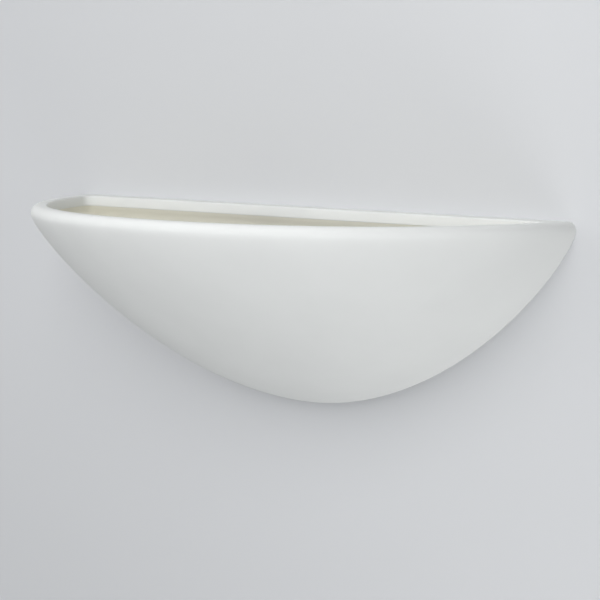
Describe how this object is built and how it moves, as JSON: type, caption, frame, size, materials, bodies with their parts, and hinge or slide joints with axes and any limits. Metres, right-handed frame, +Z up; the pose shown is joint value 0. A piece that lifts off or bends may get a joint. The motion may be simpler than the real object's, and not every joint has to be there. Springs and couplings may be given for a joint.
{
  "type": "uplighter wall sconce",
  "caption": "Half-bowl uplighter wall sconce: cast shell hung on a pressed wall bracket, with a screw lampholder on an arm, wiring and a lamp inside.",
  "frame": {"origin": "on the wall plane, midway between the two wall screw holes", "axes": "+Z up, +X along the wall to the right as seen from the room, +Y into the wall; the room is towards -Y"},
  "size_m": [0.38, 0.147, 0.118],
  "materials": {
    "shell_plaster": "matte, unglazed",
    "zinc_steel": "zinc plated",
    "nickel_steel": "nickel plated",
    "grommet_rubber": "matte",
    "strip_plastic": "satin moulded",
    "brass": "plain",
    "holder_plastic": "moulded",
    "holder_porcelain": "glazed",
    "lead_brown": "satin",
    "lead_blue": "satin",
    "lead_green": "satin",
    "glass_sleeve": "braided",
    "lamp_opal": "opal",
    "lamp_plastic": "satin",
    "led_board": "solder mask",
    "cap_insulator": "glassy"
  },
  "bodies": {
    "mounting": {"wall_bracket": "zinc_steel", "holder_arm": "zinc_steel", "arm_rivets": "nickel_steel", "cable_grommet": "grommet_rubber", "terminal_block": "strip_plastic", "terminal_tubes": "brass", "terminal_screws": "nickel_steel", "block_screws": "nickel_steel", "block_nuts": "nickel_steel", "earth_screw": "nickel_steel", "earth_washer": "nickel_steel", "earth_lug": "brass", "earth_nut": "nickel_steel", "nipple": "zinc_steel", "nipple_washer": "nickel_steel", "nipple_nut": "nickel_steel", "holder_cap": "holder_plastic", "holder_skirt": "holder_plastic", "holder_insert": "holder_porcelain", "holder_screw_shell": "brass", "holder_centre_contact": "brass", "holder_terminal_screws": "nickel_steel", "live_lead": "lead_brown", "neutral_lead": "lead_blue", "earth_lead": "lead_green", "lead_sleeve": "glass_sleeve"},
    "shell": {"shell": "shell_plaster"},
    "lamp_carriage": {"lamp_tip": "brass"},
    "lamp": {"lamp_globe": "lamp_opal", "lamp_body": "lamp_plastic", "lamp_led_board": "led_board", "lamp_cap": "nickel_steel", "lamp_cap_insulator": "cap_insulator"}
  },
  "joints": [
    {"name": "shell_lift", "type": "slide", "parent": "mounting", "child": "shell", "axis": [0, 0, 1], "range_m": [0, 0.009]},
    {"name": "lamp_travel", "type": "slide", "parent": "mounting", "child": "lamp_carriage", "axis": [1, 0, 0], "range_m": [0, 0.01452]},
    {"name": "lamp_turn", "type": "hinge", "parent": "lamp_carriage", "child": "lamp", "pos_m": [0, -0.052, 0.009], "axis": [1, 0, 0], "range_deg": [0, 1440]}
  ],
  "couplings": [
    {"joint": "lamp_travel", "follows": "lamp_turn", "m_per_rad": 0.00057757}
  ]
}
